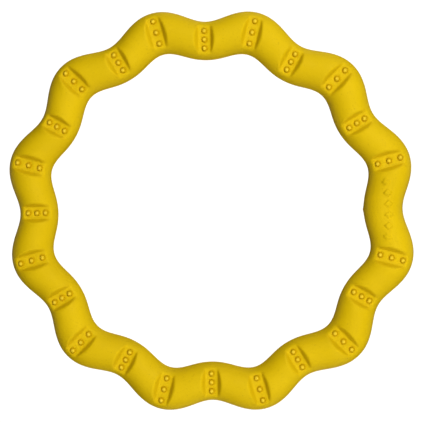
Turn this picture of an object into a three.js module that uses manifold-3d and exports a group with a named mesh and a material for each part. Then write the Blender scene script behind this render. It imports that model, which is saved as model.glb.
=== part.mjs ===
// A wavy soft-grip juggling ring, in millimetres, lying flat with +Z up and its centre at the origin.
// Two moulded foam-rubber halves meet at the mid plane and are glued over a stiffening hoop,
// a plastic rod whose two ends meet inside a ferrule. Pegs on the upper half register in
// sockets in the lower half, so that the waves and the finger pads of both faces line up.
import * as THREE from "three";
import { mergeVertices } from "three/addons/utils/BufferGeometryUtils.js";
import Module from "manifold-3d";

const wasm = await Module();
wasm.setup();

// The wavy tube. Its overall diameter over the crests is 320 mm.
const WAVES = 12;
const CENTRE_RADIUS = 138.2; // mean radius of the tube's centreline
const WAVE_HEIGHT = 5.1; // how far the centreline swings out at a crest and in at a trough
const HALF_WIDTH = 16.15; // mean half width of the tube, measured along a radius
const CREST_SWELL = 0.92; // the tube is this much wider at a crest, and narrower at a trough
const SLANT_SWELL = 0.37; // what a radius adds where it crosses the tube at a slant
const HALF_HEIGHT = 15; // from the mid plane to the flat land on each face
const STATIONS = 96; // sections round the ring
const ARC_STEPS = 9; // sides of a half section; an odd number puts a flat land on the face

// The joint between the halves.
const GLUE_LINE = 0.3;
const PEG_RADIUS = 2.5;
const PEG_HEIGHT = 4;
const PEG_OFFSET = 8; // from the centreline outwards, clear of the hoop's channel
const PEG_SIDES = 8;
const SOCKET_CLEARANCE = 0.3;

// The finger pads: a flat notch across each crest and each trough, with sloping ends.
const PADS = 2 * WAVES; // the first place is left plain, for a mark
const PAD_FLOOR = 10.3; // height of the notch's floor above the mid plane
const PAD_HALF_WIDTH = 4.7; // of the floor, along the tube
const PAD_SLOPE = 1.65; // rise over run of the notch's two ends
const STUDS = 3; // raised studs in a row on each pad
const STUD_RADIUS = 2.1;
const STUD_TOP_RADIUS = 1.2;
const STUD_HEIGHT = 2;
const STUD_SIDES = 6;
const STUD_PITCH_CREST = 8.85;
const STUD_PITCH_TROUGH = 6.75;

// The stiffening hoop, its channel and its ferrule.
const HOOP_RADIUS = 138; // plan radius of the rod's centreline
const ROD_RADIUS = 3;
const ROD_SIDES = 8;
const ROD_STATIONS = 48;
const END_GAP = 0.6; // between the rod's two ends
const FERRULE_RADIUS = 4.6;
const FERRULE_LENGTH = 32;
const CLEARANCE = 0.4; // round the rod and round the ferrule

const EPSILON = 1; // how far a cutter runs past what it cuts

const foamRubber = new THREE.MeshStandardMaterial({ color: 0xe4be14, roughness: 0.6, metalness: 0 });
const rodPlastic = new THREE.MeshStandardMaterial({ color: 0xe6e2d6, roughness: 0.45, metalness: 0 });
const ferruleMetal = new THREE.MeshStandardMaterial({ color: 0xb9bcc0, roughness: 0.35, metalness: 1 });

// Radius of the tube's centreline at an angle. A trough is at angle 0.
function centreRadius(angle) {
  return CENTRE_RADIUS - WAVE_HEIGHT * Math.cos(WAVES * angle);
}

// Half width of the tube at an angle, along the radius.
function halfWidth(angle) {
  return HALF_WIDTH - CREST_SWELL * Math.cos(WAVES * angle) - SLANT_SWELL * Math.cos(2 * WAVES * angle);
}

// A closed geometry as a manifold solid.
function solidOf(geometry) {
  const bare = geometry.index ? geometry.toNonIndexed() : geometry.clone();
  bare.deleteAttribute("normal");
  bare.deleteAttribute("uv");
  const merged = mergeVertices(bare, 1e-3);
  return new wasm.Manifold(
    new wasm.Mesh({
      numProp: 3,
      vertProperties: merged.attributes.position.array,
      triVerts: new Uint32Array(merged.index.array),
    }),
  );
}

// A manifold solid as a named mesh.
function meshOf(name, solid, material) {
  const made = solid.getMesh();
  const geometry = new THREE.BufferGeometry();
  geometry.setAttribute("position", new THREE.BufferAttribute(new Float32Array(made.vertProperties), 3));
  geometry.setIndex(new THREE.BufferAttribute(new Uint32Array(made.triVerts), 1));
  geometry.computeVertexNormals();
  const mesh = new THREE.Mesh(geometry, material);
  mesh.name = name;
  return mesh;
}

// A profile turned about Z. LatheGeometry turns about Y, so the result is laid over.
function turned(profile, stations) {
  return new THREE.LatheGeometry(profile, stations).rotateX(Math.PI / 2);
}

// The upper half's outside: a lathe ring of the half section, warped into the wavy tube.
function wavyHalf() {
  const joint = GLUE_LINE / 2;
  const landAngle = (Math.PI / 2) * (1 - 1 / ARC_STEPS);
  const profile = [new THREE.Vector2(CENTRE_RADIUS - HALF_WIDTH, joint)];
  for (let i = 0; i <= ARC_STEPS; i++) {
    const a = (Math.PI * i) / ARC_STEPS;
    const height = (HALF_HEIGHT * Math.sin(a)) / Math.sin(landAngle);
    profile.push(new THREE.Vector2(CENTRE_RADIUS + HALF_WIDTH * Math.cos(a), Math.max(joint, height)));
  }
  const geometry = turned(profile, STATIONS);
  const position = geometry.attributes.position;
  for (let i = 0; i < position.count; i++) {
    const angle = Math.atan2(position.getY(i), position.getX(i));
    const across = (Math.hypot(position.getX(i), position.getY(i)) - CENTRE_RADIUS) / HALF_WIDTH;
    const radius = centreRadius(angle) + across * halfWidth(angle);
    position.setXY(i, radius * Math.cos(angle), radius * Math.sin(angle));
  }
  return solidOf(geometry);
}

// A geometry made near the origin, with X along the radius, put at a radius and an angle.
function placed(geometry, radius, angle) {
  return geometry.translate(radius, 0, 0).rotateZ(angle);
}

// What a pad's notch takes away: a trapezoid across the tube, wider towards the top.
function padCutter(angle) {
  const top = HALF_HEIGHT + EPSILON;
  const topHalfWidth = PAD_HALF_WIDTH + (top - PAD_FLOOR) / PAD_SLOPE;
  const outline = new THREE.Shape([
    new THREE.Vector2(-PAD_HALF_WIDTH, PAD_FLOOR),
    new THREE.Vector2(PAD_HALF_WIDTH, PAD_FLOOR),
    new THREE.Vector2(topHalfWidth, top),
    new THREE.Vector2(-topHalfWidth, top),
  ]);
  const length = 2 * (HALF_WIDTH + CREST_SWELL + EPSILON);
  const geometry = new THREE.ExtrudeGeometry(outline, { depth: length, bevelEnabled: false });
  geometry.translate(0, 0, -length / 2).rotateX(Math.PI / 2).rotateZ(Math.PI / 2);
  return solidOf(placed(geometry, centreRadius(angle), angle));
}

// One raised stud, rooted a little below the pad's floor.
function stud(radius, angle) {
  const geometry = new THREE.LatheGeometry(
    [
      new THREE.Vector2(0, -EPSILON),
      new THREE.Vector2(STUD_RADIUS, -EPSILON),
      new THREE.Vector2(STUD_RADIUS, 0),
      new THREE.Vector2(STUD_TOP_RADIUS, STUD_HEIGHT),
      new THREE.Vector2(0, STUD_HEIGHT),
    ],
    STUD_SIDES,
  );
  geometry.rotateX(Math.PI / 2).translate(0, 0, PAD_FLOOR);
  return solidOf(placed(geometry, radius, angle));
}

// A full ring of a round rod about the hoop's centreline, used for the rod and for its channel.
function rodRing(radius) {
  const profile = [];
  for (let i = 0; i <= ROD_SIDES; i++) {
    const a = (2 * Math.PI * i) / ROD_SIDES;
    profile.push(new THREE.Vector2(HOOP_RADIUS + radius * Math.cos(a), radius * Math.sin(a)));
  }
  return solidOf(turned(profile, ROD_STATIONS));
}

// A box across the rod opposite the mark, as long as asked along the rod.
function acrossRod(length) {
  const size = 4 * FERRULE_RADIUS;
  return solidOf(placed(new THREE.BoxGeometry(size, length, size), HOOP_RADIUS, Math.PI));
}

// A round peg or socket at a crest, from the mid plane up or down.
function crestPin(crest, radius, height, up) {
  const angle = (2 * Math.PI * (crest + 0.5)) / WAVES;
  const geometry = new THREE.CylinderGeometry(radius, radius, height, PEG_SIDES).rotateX(Math.PI / 2);
  geometry.translate(0, 0, up * (height / 2));
  return solidOf(placed(geometry, centreRadius(angle) + PEG_OFFSET, angle));
}

// Everything that both halves share, as an upper half.
function half() {
  let body = wavyHalf();
  for (let pad = 1; pad < PADS; pad++) {
    const angle = (2 * Math.PI * pad) / PADS;
    const pitch = pad % 2 ? STUD_PITCH_CREST : STUD_PITCH_TROUGH;
    body = body.subtract(padCutter(angle));
    for (let i = 0; i < STUDS; i++) {
      const radius = centreRadius(angle) + (i - (STUDS - 1) / 2) * pitch;
      body = body.add(stud(radius, angle));
    }
  }
  const pocket = rodRing(FERRULE_RADIUS + CLEARANCE).intersect(acrossRod(FERRULE_LENGTH + 2 * CLEARANCE));
  return body.subtract(rodRing(ROD_RADIUS + CLEARANCE)).subtract(pocket);
}

// The upper half, with its register pegs hanging through the mid plane.
function upperHalf() {
  let body = half();
  for (let crest = 0; crest < WAVES; crest++) {
    body = body.add(crestPin(crest, PEG_RADIUS, PEG_HEIGHT, -1));
    body = body.add(crestPin(crest, PEG_RADIUS, PEG_HEIGHT / 2, 1));
  }
  return body;
}

// The lower half is the same moulding turned over, with sockets for the pegs.
function lowerHalf() {
  let body = half().rotate([180, 0, 0]);
  for (let crest = 0; crest < WAVES; crest++) {
    const depth = PEG_HEIGHT + SOCKET_CLEARANCE;
    body = body.subtract(crestPin(crest, PEG_RADIUS + SOCKET_CLEARANCE, depth, -1));
  }
  return body;
}

// The rod, open where its two ends meet inside the ferrule.
function coreHoop() {
  return rodRing(ROD_RADIUS).subtract(acrossRod(END_GAP));
}

// The ferrule, a sleeve over the rod's two ends.
function hoopFerrule() {
  const sleeve = rodRing(FERRULE_RADIUS).subtract(rodRing(ROD_RADIUS + CLEARANCE));
  return sleeve.intersect(acrossRod(FERRULE_LENGTH));
}

const ring = new THREE.Group();
ring.add(meshOf("upper_half", upperHalf(), foamRubber));
ring.add(meshOf("lower_half", lowerHalf(), foamRubber));
ring.add(meshOf("core_hoop", coreHoop(), rodPlastic));
ring.add(meshOf("hoop_ferrule", hoopFerrule(), ferruleMetal));

export default ring;
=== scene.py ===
"""The looks of a wavy soft-grip juggling ring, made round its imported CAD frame.

The ring lies flat with +Z up and its centre at the origin, in metres. The two moulded foam-rubber
halves get fine meshes with filleted finger pads, domed studs and a register joint; the hoop and its
ferrule, which lie hidden between the halves, keep their CAD meshes and get a finished material.
"""

import math

import bpy
import numpy as np
from mathutils import Matrix, Vector


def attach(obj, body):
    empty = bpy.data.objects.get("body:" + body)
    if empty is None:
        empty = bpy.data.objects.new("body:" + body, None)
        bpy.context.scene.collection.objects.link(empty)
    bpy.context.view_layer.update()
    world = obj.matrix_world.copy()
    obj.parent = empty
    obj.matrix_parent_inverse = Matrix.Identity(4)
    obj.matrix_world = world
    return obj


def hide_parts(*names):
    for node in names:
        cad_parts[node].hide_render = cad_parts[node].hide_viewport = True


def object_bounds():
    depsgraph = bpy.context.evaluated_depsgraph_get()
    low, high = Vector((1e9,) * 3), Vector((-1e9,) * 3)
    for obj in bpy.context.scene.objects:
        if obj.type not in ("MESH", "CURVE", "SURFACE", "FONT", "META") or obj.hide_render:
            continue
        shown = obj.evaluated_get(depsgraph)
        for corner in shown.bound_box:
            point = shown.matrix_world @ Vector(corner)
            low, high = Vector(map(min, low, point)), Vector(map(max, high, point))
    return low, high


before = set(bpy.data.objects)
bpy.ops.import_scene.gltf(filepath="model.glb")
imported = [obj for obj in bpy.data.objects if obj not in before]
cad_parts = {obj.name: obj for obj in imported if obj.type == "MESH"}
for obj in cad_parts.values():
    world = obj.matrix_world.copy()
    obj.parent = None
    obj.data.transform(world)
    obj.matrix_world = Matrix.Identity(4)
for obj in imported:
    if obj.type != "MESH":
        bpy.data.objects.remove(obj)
cad_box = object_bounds()

MM = 0.001
TINY = 1e-7

# The wavy tube, as in the CAD model. A trough is at angle 0.
WAVES = 12
CENTRE_RADIUS = 138.2 * MM
WAVE_HEIGHT = 5.1 * MM
HALF_WIDTH = 16.15 * MM
CREST_SWELL = 0.92 * MM
SLANT_SWELL = 0.37 * MM
HALF_HEIGHT = 15 * MM
SEAM = 0.15 * MM  # half of the glue line, so each half starts this far from the mid plane

# Finger pads, one on every crest and trough but the first place, which is left for a mark.
PADS = 2 * WAVES
PAD_STEP = 2 * math.pi / PADS
PAD_FLOOR = 10.3 * MM
PAD_HALF_WIDTH = 4.65 * MM
PAD_SLOPE = 1.55
PAD_CREASE = 0.5 * MM  # fillet where the floor meets a sloping end
PAD_BROW = 1.6 * MM  # fillet where the notch breaks out of the round tube
STUDS = 3
STUD_RADIUS = 2.0 * MM
STUD_HEIGHT = 2.0 * MM
STUD_ROUNDNESS = 2.2  # 2 is a true ellipse; more is squarer
MOAT_DEPTH = 0.4 * MM  # a faint groove round each stud
MOAT_RADIUS = 2.2 * MM
MOAT_WIDTH = 0.6 * MM
STUD_PITCH_CREST = 8.85 * MM
STUD_PITCH_TROUGH = 6.75 * MM

# The joint between the halves, as in the CAD model.
HOOP_RADIUS = 138 * MM
CHANNEL_RADIUS = 3.4 * MM
POCKET_RADIUS = 5.0 * MM
POCKET_HALF_LENGTH = 16.4 * MM
POCKET_PAD = PADS // 2
PEG_OFFSET = 8 * MM
PEG_HEIGHT = 4 * MM
SOCKET_DEPTH = 4.3 * MM
SOCKET_SCALE = 1.16

# A plain row of raised lozenges in the first place, and the gate's nub on the inner edge there.
MARK_RADIUS = 137 * MM
MARK_COUNT = 6
MARK_PITCH = 8.4 * MM
MARK_HALF_LENGTH = 3.1 * MM
MARK_HALF_WIDTH = 3.7 * MM
MARK_RELIEF = 1.05 * MM
MARK_EDGE = 0.25  # share of a lozenge that its sloping edge takes
GATE_HEIGHT = 0.8 * MM
GATE_LENGTH = 2.2 * MM
GATE_RISE = 3 * MM
GATE_BLUNTNESS = 0.15  # of its length, taken off the nub's point
FLASH = 0.12 * MM
FLASH_RISE = 0.5 * MM

# Painted light on the rubber: a painted highlight on the studs' tops, and painted shade in the pads'
# creases and round the studs.
CREASE_SHADE = 0.45  # painted shade in the creases, against 1 round the studs
CREASE_SPREAD = 1.2 * MM
HIGHLIGHT_REACH = 1.3  # above 1, the middle of a stud's top gets the full painted highlight, and not only its very point

# The soft ring lies a little out of round: an oval and a three-lobed bend, with their directions.
LIES = ((2, 1.6 * MM, math.radians(-27)), (3, 0.5 * MM, 0.0))

# Grid lines in millimetres: along the tube from a pad's middle, and across a stud from its middle.
STUD_LINES = (0.7, 1.2, 1.6, 1.9, 2.25, 2.55, 3.0)
PAD_LINES = (3.8, 4.3, 4.65, 5.0, 5.5, 6.1, 6.7, 7.3, 7.9, 8.5, 9.3, 10.3, 11.8, 13.8, 16.4)
MARK_LINES = tuple(0.6 * i for i in range(1, 30))
NEAR_MARK_START = 9.2
NEAR_MARK_LINES = tuple(NEAR_MARK_START + 0.7 * i for i in range(1, 12))
SHOULDER_STEPS = 11
EDGE = CENTRE_RADIUS * math.tan(PAD_STEP / 2)  # where a pad's place ends
LEAN_START = 9 * MM  # where the lines start to lean towards the border of the pad's place
BLEND_START = 4.4 * MM  # where the rows start to drift towards the next pad's stud pitch
PEG_LINES = (3.375, 2.55, 2.25, 0.0, -2.25, -2.55, -3.375)
PEG_TOP_RING = 2.25 * MM
RING_FADE = (2.6 * MM, 3.375 * MM)
CHANNEL_STEPS = 6
SETTLING_ROUNDS = 12
SHARP_ANGLE = math.radians(50)


def centre_radius(angle):
    """Radius of the tube's centreline at an angle."""
    return CENTRE_RADIUS - WAVE_HEIGHT * np.cos(WAVES * angle)


def half_width(angle):
    """Half width of the tube at an angle, along the radius."""
    return HALF_WIDTH - CREST_SWELL * np.cos(WAVES * angle) - SLANT_SWELL * np.cos(2 * WAVES * angle)


def smooth(value):
    """A smooth step from 0 to 1 as the value goes from 0 to 1."""
    v = np.clip(value, 0, 1)
    return v * v * (3 - 2 * v)


def soft_min(a, b, fillet):
    """The lower of two heights, with a fillet where they cross."""
    mix = np.clip(0.5 + 0.5 * (b - a) / fillet, 0, 1)
    return b + (a - b) * mix - fillet * mix * (1 - mix)


def pitch_of(pad):
    """Distance between the studs of a pad. Odd places are crests."""
    return np.where(pad % 2 == 1, STUD_PITCH_CREST, STUD_PITCH_TROUGH)


def in_pad(x, y, pad):
    """Plan points in a pad's own axes: along its radius, and across it."""
    angle = pad * PAD_STEP
    return x * np.cos(angle) + y * np.sin(angle), y * np.cos(angle) - x * np.sin(angle)


def stud_relief(distance):
    """Height of a domed stud at a distance from its middle."""
    share = np.clip(distance / STUD_RADIUS, 0, 1)
    moat = MOAT_DEPTH * np.exp(-(np.maximum(distance - MOAT_RADIUS, 0) / MOAT_WIDTH) ** 2)
    return (STUD_HEIGHT + MOAT_DEPTH) * np.sqrt(1 - share ** STUD_ROUNDNESS) - moat


def mark_relief(x, y):
    """Height of the row of lozenges."""
    along = MARK_RADIUS * np.arctan2(y, x)
    across = np.hypot(x, y) - MARK_RADIUS
    place = np.clip(np.round(along / MARK_PITCH - 0.5) + 0.5, -MARK_COUNT / 2 + 0.5, MARK_COUNT / 2 - 0.5)
    inside = 1 - np.abs(along - place * MARK_PITCH) / MARK_HALF_LENGTH - np.abs(across) / MARK_HALF_WIDTH
    return MARK_RELIEF * smooth(inside / MARK_EDGE)


def tube_height(x, y):
    """Height of the plain tube over plan points, before its pads."""
    angle = np.arctan2(y, x)
    across = (np.hypot(x, y) - centre_radius(angle)) / half_width(angle)
    return HALF_HEIGHT * np.sqrt(np.clip(1 - across ** 2, 0, 1))


def nearest_pad(x, y):
    """Number of the pad whose place holds each plan point."""
    return np.round(np.arctan2(y, x) / PAD_STEP) % PADS


def from_stud(radius, offset, pad, stud):
    """Distance of points in a pad's own axes from one of its studs."""
    middle = centre_radius(pad * PAD_STEP)
    return np.hypot(radius - middle - (stud - (STUDS - 1) / 2) * pitch_of(pad), offset)


def skin_height(x, y, marked):
    """Height of the upper face over plan points."""
    tube = tube_height(x, y)
    pad = nearest_pad(x, y)
    radius, offset = in_pad(x, y, pad)
    run = np.abs(offset) - PAD_HALF_WIDTH
    rise = (run + np.sqrt(run ** 2 + PAD_CREASE ** 2)) / 2
    notch = PAD_FLOOR + PAD_SLOPE * rise
    height = np.where(pad == 0, tube, soft_min(tube, notch, PAD_BROW))
    for stud in range(STUDS):
        away = from_stud(radius, offset, pad, stud)
        height = height + np.where(pad == 0, 0, stud_relief(away))
    return height + (mark_relief(x, y) if marked else 0)


def painted_light_on_skin(x, y):
    """How much painted highlight (up to 1) or painted shade (down to -1) the upper face gets over plan
    points.
    """
    pad = nearest_pad(x, y)
    radius, offset = in_pad(x, y, pad)
    depth = tube_height(x, y) - PAD_FLOOR
    # Painted shade in the pads' creases and in a ring round each stud.
    crease_shade = np.exp(-((np.abs(offset) - PAD_HALF_WIDTH - CREASE_SPREAD) / CREASE_SPREAD) ** 2)
    painted_shade = CREASE_SHADE * crease_shade * smooth(depth / CREASE_SPREAD)
    painted_highlight = 0
    for stud in range(STUDS):
        away = from_stud(radius, offset, pad, stud)
        painted_shade = np.maximum(painted_shade, np.exp(-((away - STUD_RADIUS) / MOAT_WIDTH) ** 2))
        # A painted highlight on each stud's top.
        painted_highlight = np.maximum(painted_highlight, smooth(HIGHLIGHT_REACH * (1 - away / STUD_RADIUS)))
    return np.where(pad == 0, 0, painted_highlight - painted_shade * (1 - painted_highlight))


def stations():
    """Every grid line across the tube: its pad, and its distance from the pad's middle."""
    made = []
    for pad in range(PADS):
        marked = pad == 0
        beside = pad in (1, PADS - 1)
        lines = MARK_LINES if marked else STUD_LINES + PAD_LINES
        high = low = lines
        if beside:
            close = tuple(v for v in STUD_LINES + PAD_LINES if v <= NEAR_MARK_START) + NEAR_MARK_LINES
            low, high = (close, lines) if pad == 1 else (lines, close)
        made += [(pad, -v * MM) for v in reversed(low)] + [(pad, 0.0)]
        made += [(pad, v * MM) for v in high] + [(pad, EDGE)]
    return np.array(made)


STATION_PAD, STATION_OFFSET = stations().T
STATION_LEAN = (np.sign(STATION_OFFSET) * math.tan(PAD_STEP / 2)
                * smooth((np.abs(STATION_OFFSET) - LEAN_START) / (EDGE - LEAN_START)))


def on_station(radius):
    """Plan points at a radius, measured along each station's pad, in the frame's axes."""
    offset = STATION_OFFSET + (radius - CENTRE_RADIUS) * STATION_LEAN
    return from_pad(radius, offset)


def from_pad(radius, offset):
    """Plan points in the frame's axes, from points in each station's own pad."""
    angle = STATION_PAD * PAD_STEP
    return (radius * np.cos(angle) - offset * np.sin(angle),
            radius * np.sin(angle) + offset * np.cos(angle))


def at_distance(wanted):
    """Plan points on each station at a distance from the centre, which may depend on the angle."""
    radius = np.full(len(STATION_PAD), CENTRE_RADIUS)
    for _ in range(SETTLING_ROUNDS):
        x, y = on_station(radius)
        radius = radius + wanted(np.arctan2(y, x)) - np.hypot(x, y)
    return on_station(radius)


def across_tube(share):
    """Plan points on each station at a share of the half width, from -1 inside to 1 outside."""
    return at_distance(lambda angle: centre_radius(angle) + share * half_width(angle))


def rounded(x, y, radius, row, wanted, scale=1.0):
    """Grid points near a stud or a peg, drawn in so that the grid's squares become circles round it."""
    size = np.maximum(np.abs(STATION_OFFSET), abs(row))
    shrink = scale * size / np.maximum(np.hypot(STATION_OFFSET, row), TINY)
    rx, ry = from_pad(radius + row * shrink, STATION_OFFSET * shrink)
    share = np.where(wanted, smooth((RING_FADE[1] - size) / (RING_FADE[1] - RING_FADE[0])), 0)
    return x + (rx - x) * share, y + (ry - y) * share


def skin_rows(marked):
    """Rows of points over the upper face, from the inner seam to the outer one."""
    blend = 0.5 * smooth((np.abs(STATION_OFFSET) - BLEND_START) / (EDGE - BLEND_START))
    own = pitch_of(STATION_PAD)
    pitch = own + (pitch_of(STATION_PAD + 1) - own) * blend
    middle = centre_radius(STATION_PAD * PAD_STEP)
    x, y = across_tube(0)
    width = half_width(np.arctan2(y, x))
    reach = pitch + STUD_LINES[-1] * MM
    brow = np.arcsin(reach / width)
    rows = []
    lines = [-v * MM for v in reversed(STUD_LINES)] + [0.0] + [v * MM for v in STUD_LINES]
    for stud in (-1, 0, 1):
        for line in lines:
            px, py = across_tube((stud * pitch + line) / width)
            px, py = rounded(px, py, middle + stud * own, line, STATION_PAD != 0)
            rows.append((px, py, skin_height(px, py, marked)))
        if stud < 1:
            px, py = across_tube((stud + 0.5) * pitch / width)
            rows.append((px, py, skin_height(px, py, marked)))
    for side in (-1, 1):
        shoulder = []
        for i in range(1, SHOULDER_STEPS + 1):
            lean = brow + (math.pi / 2 - brow) * i / SHOULDER_STEPS
            px, py = across_tube(side * np.sin(lean))
            height = np.full(len(px), SEAM) if i == SHOULDER_STEPS else skin_height(px, py, marked)
            shoulder.append((px, py, height))
        rows = rows + shoulder if side == 1 else shoulder[::-1] + rows
    return rows


def joint_rows(peg):
    """Rows of points over the joint face, from the outer seam inwards, each with its share of the bend.

    The channel stays true to the round hoop, so the bend fades from the seams to the channel.
    """
    in_pocket = (STATION_PAD == POCKET_PAD) & (np.abs(STATION_OFFSET) <= POCKET_HALF_LENGTH)
    channel = np.where(in_pocket, POCKET_RADIUS, CHANNEL_RADIUS)
    crest = STATION_PAD % 2 == 1
    peg_radius = centre_radius(math.pi / WAVES) + PEG_OFFSET
    outer = centre_radius(math.pi / WAVES) + half_width(math.pi / WAVES)
    bank = HOOP_RADIUS + CHANNEL_RADIUS
    rows = []
    for line in PEG_LINES:
        share = (peg_radius + line * MM - bank) / (outer - bank)
        x, y = at_distance(lambda a: HOOP_RADIUS + channel + share * (
            centre_radius(a) + half_width(a) - HOOP_RADIUS - channel))
        x, y = rounded(x, y, peg_radius, line * MM, crest, 1.0 if peg else SOCKET_SCALE)
        raised = crest & (np.maximum(np.abs(STATION_OFFSET), abs(line * MM)) <= PEG_TOP_RING + TINY)
        rows.append(((x, y, np.where(raised, -PEG_HEIGHT if peg else SOCKET_DEPTH, SEAM)), share))
    for i in range(CHANNEL_STEPS + 1):
        turn = math.pi * i / CHANNEL_STEPS
        x, y = at_distance(lambda a: HOOP_RADIUS + channel * math.cos(turn))
        rows.append(((x, y, np.maximum(SEAM, channel * math.sin(turn))), 0.0))
    x, y = at_distance(lambda a: (HOOP_RADIUS - channel + centre_radius(a) - half_width(a)) / 2)
    rows.append(((x, y, np.full(len(x), SEAM)), 0.5))
    return rows


def add_gate_and_flash(points):
    """The gate's nub on the inner edge, and the parting line's faint ridge all round."""
    x, y, z = points
    angle = np.arctan2(y, x)
    distance = np.hypot(x, y)
    inner = distance < centre_radius(angle)
    along = np.hypot(distance * angle, GATE_BLUNTNESS * GATE_LENGTH)
    nub = GATE_HEIGHT * np.exp(-along / GATE_LENGTH - (z / GATE_RISE) ** 2) * inner
    ridge = FLASH * np.exp(-(z / FLASH_RISE) ** 2) * np.where(inner, -1, 1)
    grow = (ridge - nub) / distance
    return x + x * grow, y + y * grow, z


def laid(points, share=1.0):
    """Points as the soft ring lies: bent a little out of round without stretching."""
    x, y, z = points
    angle = np.arctan2(y, x)
    out = along = 0
    for lobes, amount, direction in LIES:
        out = out + share * amount * np.cos(lobes * (angle - direction))
        along = along - share * amount / lobes * np.sin(lobes * (angle - direction))
    return (x + out * np.cos(angle) - along * np.sin(angle),
            y + out * np.sin(angle) + along * np.cos(angle), z)


def turned_over(points):
    """Points of the upper half, turned over about X."""
    x, y, z = points
    return x, -y, -z


def moulding(name, upper):
    """One half of the grip, as a closed mesh."""
    place = (lambda points: points) if upper else turned_over
    rows = skin_rows(marked=upper)
    skin = [laid(place(add_gate_and_flash(row))) for row in rows]
    joint = [laid(place(row), share) for row, share in joint_rows(peg=upper)]
    points = np.array([np.stack(row, axis=-1) for row in skin + joint])
    count, length = points.shape[:2]
    row, column = np.meshgrid(np.arange(count), np.arange(length), indexing="ij")
    next_row, next_column = (row + 1) % count, (column + 1) % length
    corners = [(row, column), (next_row, column), (next_row, next_column), (row, next_column)]
    faces = np.stack([(r * length + c).ravel() for r, c in corners], axis=-1)
    mesh = bpy.data.meshes.new(name)
    mesh.from_pydata(points.reshape(-1, 3).tolist(), [], faces.tolist())
    mesh.update()
    # Painted highlight and painted shade per point, for the rubber's colour.
    painted_light = np.zeros(points.shape[:2])
    painted_light[:len(rows)] = [painted_light_on_skin(x, y) for x, y, _ in rows]
    mesh.attributes.new("painted_light", "FLOAT", "POINT").data.foreach_set("value", painted_light.ravel())
    mesh.shade_smooth()
    mesh.set_sharp_from_angle(angle=SHARP_ANGLE)
    piece = bpy.data.objects.new(name, mesh)
    bpy.context.scene.collection.objects.link(piece)
    return piece


# Materials.


def shader(name):
    """A new material, with its node tree and its main shader."""
    material = bpy.data.materials.new(name)
    material.use_nodes = True
    tree = material.node_tree
    return material, tree, tree.nodes["Principled BSDF"]


def askew(tree):
    """The object's own space, turned off its axes, so that no face lies along a texture's lattice."""
    place = tree.nodes.new("ShaderNodeTexCoord")
    made = tree.nodes.new("ShaderNodeMapping")
    made.inputs["Rotation"].default_value = (0.41, 0.67, 0.23)
    tree.links.new(place.outputs["Object"], made.inputs["Vector"])
    return made.outputs["Vector"]


def noise(tree, scale, detail=3.0, roughness=0.55):
    """Noise over the object's own space, with its features per metre."""
    made = tree.nodes.new("ShaderNodeTexNoise")
    made.inputs["Scale"].default_value = scale
    made.inputs["Detail"].default_value = detail
    made.inputs["Roughness"].default_value = roughness
    tree.links.new(askew(tree), made.inputs["Vector"])
    return made.outputs["Fac"]


def spread(tree, value, low, high, to_low=0.0, to_high=1.0):
    """A value carried from one range to another, and kept within it."""
    made = tree.nodes.new("ShaderNodeMapRange")
    made.inputs["From Min"].default_value = low
    made.inputs["From Max"].default_value = high
    made.inputs["To Min"].default_value = to_low
    made.inputs["To Max"].default_value = to_high
    tree.links.new(value, made.inputs["Value"])
    return made.outputs["Result"]


def mixed(tree, share, first, second):
    """Two colours mixed by a share. Each is a colour or a socket."""
    made = tree.nodes.new("ShaderNodeMix")
    made.data_type = "RGBA"
    tree.links.new(share, made.inputs["Factor"])
    for value, socket in ((first, made.inputs[6]), (second, made.inputs[7])):
        if isinstance(value, tuple):
            socket.default_value = value
        else:
            tree.links.new(value, socket)
    return made.outputs[2]


def bump(tree, height, distance, normal=None):
    """A normal raised by a height, on top of another normal if there is one."""
    made = tree.nodes.new("ShaderNodeBump")
    made.inputs["Distance"].default_value = distance
    tree.links.new(height, made.inputs["Height"])
    if normal is not None:
        tree.links.new(normal, made.inputs["Normal"])
    return made.outputs["Normal"]


DEEP_YELLOW = (0.63, 0.421, 0.001, 1)
WARM_YELLOW = (0.67, 0.45, 0.002, 1)
FINE_YELLOW = (0.60, 0.395, 0.001, 1)
SPECK_YELLOW = (0.53, 0.347, 0.003, 1)
# Painted shade for the creases and round the studs, and a painted highlight for the studs' tops.
SHADE_YELLOW = (0.53, 0.33, 0.001, 1)
HIGHLIGHT_YELLOW = (0.79, 0.54, 0.03, 1)
DULL_WHITE = (0.74, 0.71, 0.62, 1)
CLEAN_WHITE = (0.80, 0.78, 0.70, 1)
DULL_METAL = (0.62, 0.63, 0.65, 1)
BRIGHT_METAL = (0.72, 0.73, 0.74, 1)
PAPER_SHADE = (0.93, 0.93, 0.93, 1)
PAPER_WHITE = (0.95, 0.95, 0.95, 1)


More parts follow.
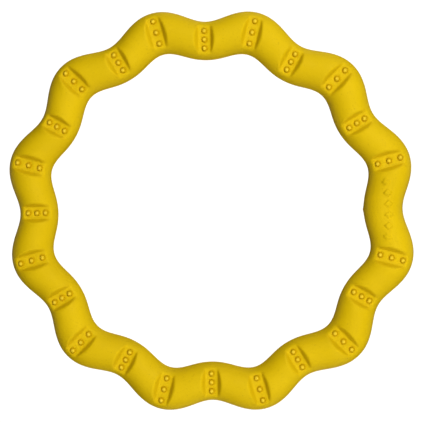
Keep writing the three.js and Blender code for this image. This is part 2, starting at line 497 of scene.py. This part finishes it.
def foam_rubber():
    """Matte yellow rubber: mottled, lightly specked, with painted shade in its creases and round its studs,
    and a painted highlight on its studs' tops.
    """
    material, tree, surface = shader("foam_rubber")
    tone = mixed(tree, spread(tree, noise(tree, 30), 0.35, 0.65), DEEP_YELLOW, WARM_YELLOW)
    fine = mixed(tree, spread(tree, noise(tree, 700, 2), 0.58, 0.72), tone, FINE_YELLOW)
    specks = tree.nodes.new("ShaderNodeTexVoronoi")
    specks.inputs["Scale"].default_value = 160
    tree.links.new(askew(tree), specks.inputs["Vector"])
    speck = spread(tree, specks.outputs["Distance"], 0.05, 0.08, 1, 0)
    dusty = mixed(tree, speck, fine, SPECK_YELLOW)
    # Painted shade in the creases and round the studs, and a painted highlight on the studs' tops, read
    # from a per-point attribute.
    painted_light = tree.nodes.new("ShaderNodeAttribute")
    painted_light.attribute_name = "painted_light"
    shaded = mixed(tree, spread(tree, painted_light.outputs["Fac"], -1, 0, 1, 0), dusty, SHADE_YELLOW)
    # The painted highlight on the studs' tops.
    highlit = spread(tree, painted_light.outputs["Fac"], 0, 1)
    tree.links.new(mixed(tree, highlit, shaded, HIGHLIGHT_YELLOW), surface.inputs["Base Color"])
    tree.links.new(spread(tree, noise(tree, 90), 0.3, 0.7, 0.56, 0.72), surface.inputs["Roughness"])
    grain = bump(tree, noise(tree, 2600, 2), 0.00005)
    uneven = bump(tree, noise(tree, 70, 1), 0.00025, grain)
    tree.links.new(uneven, surface.inputs["Normal"])
    surface.inputs["Specular IOR Level"].default_value = 0.07
    return material


def rod_plastic():
    """Off-white satin plastic."""
    material, tree, surface = shader("rod_plastic")
    tone = mixed(tree, spread(tree, noise(tree, 60), 0.35, 0.65), DULL_WHITE, CLEAN_WHITE)
    tree.links.new(tone, surface.inputs["Base Color"])
    tree.links.new(spread(tree, noise(tree, 400), 0.3, 0.7, 0.36, 0.52), surface.inputs["Roughness"])
    tree.links.new(bump(tree, noise(tree, 1500, 2), 0.00003), surface.inputs["Normal"])
    return material


def ferrule_aluminium():
    """Satin drawn aluminium."""
    material, tree, surface = shader("ferrule_aluminium")
    tone = mixed(tree, spread(tree, noise(tree, 300), 0.35, 0.65), DULL_METAL, BRIGHT_METAL)
    tree.links.new(tone, surface.inputs["Base Color"])
    tree.links.new(spread(tree, noise(tree, 900), 0.3, 0.7, 0.28, 0.42), surface.inputs["Roughness"])
    tree.links.new(bump(tree, noise(tree, 2200, 2), 0.00002), surface.inputs["Normal"])
    surface.inputs["Metallic"].default_value = 1.0
    return material


def floor_paper():
    """Plain pale paper."""
    material, tree, surface = shader("floor_paper")
    tone = mixed(tree, spread(tree, noise(tree, 12), 0.3, 0.7), PAPER_SHADE, PAPER_WHITE)
    tree.links.new(tone, surface.inputs["Base Color"])
    surface.inputs["Roughness"].default_value = 0.9
    surface.inputs["Specular IOR Level"].default_value = 0.1
    return material


# The grip, and the pieces inside it.
rubber = foam_rubber()
for piece_name, node_name, is_upper in (
        ("upper_grip", "upper_half", True),
        ("lower_grip", "lower_half", False)):
    grip = moulding(piece_name, is_upper)
    grip.data.materials.append(rubber)
    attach(grip, "root")
    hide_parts(node_name)
for node_name, finish in (("core_hoop", rod_plastic()), ("hoop_ferrule", ferrule_aluminium())):
    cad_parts[node_name].data.materials.clear()
    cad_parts[node_name].data.materials.append(finish)


# The stage: a pale floor, soft light from above, and the camera.
FLOOR_SIZE = 6.0
FLOOR_GAP = 0.1 * MM
floor_mesh = bpy.data.meshes.new("floor")
half = FLOOR_SIZE / 2
low = cad_box[0][2] - FLOOR_GAP
floor_mesh.from_pydata([(-half, -half, low), (half, -half, low), (half, half, low), (-half, half, low)], [],
                       [(0, 1, 2, 3)])
floor = bpy.data.objects.new("floor", floor_mesh)
floor_mesh.materials.append(floor_paper())
bpy.context.scene.collection.objects.link(floor)


def group(name, pieces):
    """A collection that only says which pieces a light reaches or is blocked by."""
    made = bpy.data.collections.new(name)
    for piece in pieces:
        made.objects.link(piece)
    return made


def ring_light(name, elevation, azimuth, power):
    """A round soft light for the ring alone, which faces its centre from a direction in degrees."""
    data = bpy.data.lights.new(name, "AREA")
    data.shape = "DISK"
    data.size = LIGHT_SIZE
    data.energy = power
    lamp = bpy.data.objects.new(name, data)
    rise, turn = math.radians(elevation), math.radians(azimuth)
    away = Vector((math.cos(rise) * math.cos(turn), math.cos(rise) * math.sin(turn), math.sin(rise)))
    lamp.location = away * LIGHT_DISTANCE
    lamp.rotation_euler = away.to_track_quat("Z", "Y").to_euler()
    lamp.light_linking.receiver_collection = on_ring
    lamp.light_linking.blocker_collection = on_ring
    bpy.context.scene.collection.objects.link(lamp)


def floor_sun(name, strength):
    """Light straight down on the floor alone, which keeps it white as far as it goes."""
    data = bpy.data.lights.new(name, "SUN")
    data.energy = strength
    lamp = bpy.data.objects.new(name, data)
    lamp.light_linking.receiver_collection = on_floor
    lamp.light_linking.blocker_collection = on_floor
    bpy.context.scene.collection.objects.link(lamp)


LIGHT_DISTANCE = 1.6
LIGHT_SIZE = 1.0
on_floor = group("floor_only", [floor])
on_ring = group("ring_only", [o for o in bpy.context.scene.objects if o.type == "MESH" and o != floor])
ring_light("key", 57, 60, 19.2)
ring_light("east", 60, 0, 3.9)
ring_light("south_east", 49, 300, 9.8)
ring_light("south_west", 50, 240, 5.5)
ring_light("low_north_east", 5, 60, 5.5)
ring_light("low_south_east", 5, 300, 4.4)
for side, azimuth in (("east", 0), ("north", 90), ("west", 180), ("south", 270)):
    ring_light("bounce_" + side, -30, azimuth, 3.4)
floor_sun("floor_wash", 3.6)
floor.visible_diffuse = False  # the floor lights nothing
floor.visible_glossy = False
world = bpy.data.worlds.new("studio")
bpy.context.scene.world = world
world.use_nodes = True
backdrop = world.node_tree.nodes["Background"]
backdrop.inputs["Color"].default_value = (0.97, 0.98, 1.0, 1)
backdrop.inputs["Strength"].default_value = 1.0
world.cycles_visibility.diffuse = False  # a pale backdrop that lights nothing
world.cycles_visibility.glossy = False
bpy.context.scene.view_settings.view_transform = "Standard"

CAMERA_DISTANCE = 1.2
CAMERA_EAST = math.radians(4.35)
CAMERA_NORTH = math.radians(0.65)
CAMERA_ROLL = math.radians(-0.94)
CAMERA_AIM = Vector((1.8 * MM, -0.4 * MM, 0))
SENSOR_WIDTH = 36
LENS = 131.3
back = Vector((math.sin(CAMERA_EAST), math.sin(CAMERA_NORTH), 0))
back.z = math.sqrt(1 - back.length_squared)
right = Vector((0, 1, 0)).cross(back).normalized()
up = back.cross(right)
camera_data = bpy.data.cameras.new("camera")
camera_data.sensor_width = SENSOR_WIDTH
camera_data.lens = LENS
camera = bpy.data.objects.new("camera", camera_data)
turn = Matrix((right, up, back)).transposed() @ Matrix.Rotation(CAMERA_ROLL, 3, "Z")
camera.matrix_world = Matrix.Translation(CAMERA_AIM + back * CAMERA_DISTANCE) @ turn.to_4x4()
bpy.context.scene.collection.objects.link(camera)
bpy.context.scene.camera = camera
